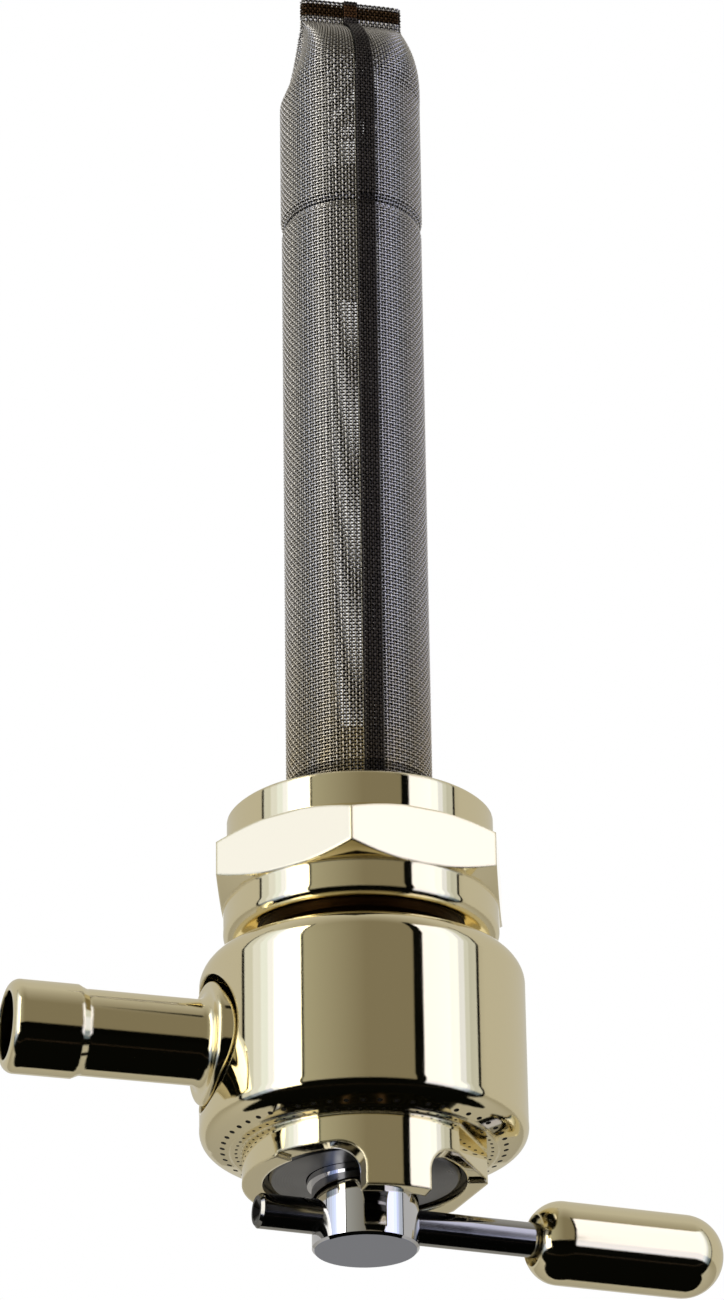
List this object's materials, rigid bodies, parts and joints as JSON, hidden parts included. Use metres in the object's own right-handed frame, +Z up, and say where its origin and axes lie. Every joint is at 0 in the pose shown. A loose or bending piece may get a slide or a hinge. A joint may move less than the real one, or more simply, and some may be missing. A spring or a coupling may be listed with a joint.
{
  "type": "fuel tap",
  "caption": "Brass rotary fuel tap with a union nut, a woven filter screen, a hose nipple and a cross-rod lever with a capsule knob.",
  "frame": {"origin": "centre of the union nut's mouth, where the tank's spigot enters", "axes": "+Z up the filter screen along the tap's axis, hose nipple along -X, stop lug on the -Y side, lever along +X when closed"},
  "size_m": [0.0793, 0.0348, 0.1536],
  "materials": {
    "polished_brass": "mirror polished",
    "plain_brass": "turned",
    "steel_mesh": "woven wire",
    "chrome": "plated, polished",
    "polished_steel": "polished",
    "ground_steel": "fine turned",
    "black_steel": "blackened",
    "spring_steel": "bright",
    "white_nylon": "smooth",
    "fibre": "pressed fibre",
    "seal_rubber": "smooth"
  },
  "bodies": {
    "tap_body": {"valve_body": "polished_brass", "tank_gasket": "fibre", "screen_ferrule": "plain_brass", "filter_screen": "steel_mesh", "screen_ring": "plain_brass", "standpipe": "plain_brass", "main_port_seal": "seal_rubber", "reserve_port_seal": "seal_rubber", "thrust_washer": "white_nylon", "disc_spring": "spring_steel", "retaining_plate": "ground_steel", "circlip": "black_steel", "hose_nipple": "polished_brass", "nipple_seal": "seal_rubber"},
    "nut": {"union_nut": "polished_brass"},
    "lever": {"spool": "chrome", "spool_seal_upper": "seal_rubber", "spool_seal_lower": "seal_rubber", "lever_rod": "polished_steel", "lever_knob": "polished_brass"}
  },
  "joints": [
    {"name": "lever_turn", "type": "hinge", "parent": "tap_body", "child": "lever", "pos_m": [0, 0, -0.04555], "axis": [0, 0, 1], "range_deg": [-56, 56]},
    {"name": "union_nut_turn", "type": "hinge", "parent": "tap_body", "child": "nut", "pos_m": [0, 0, 0], "axis": [0, 0, 1], "continuous": true}
  ]
}
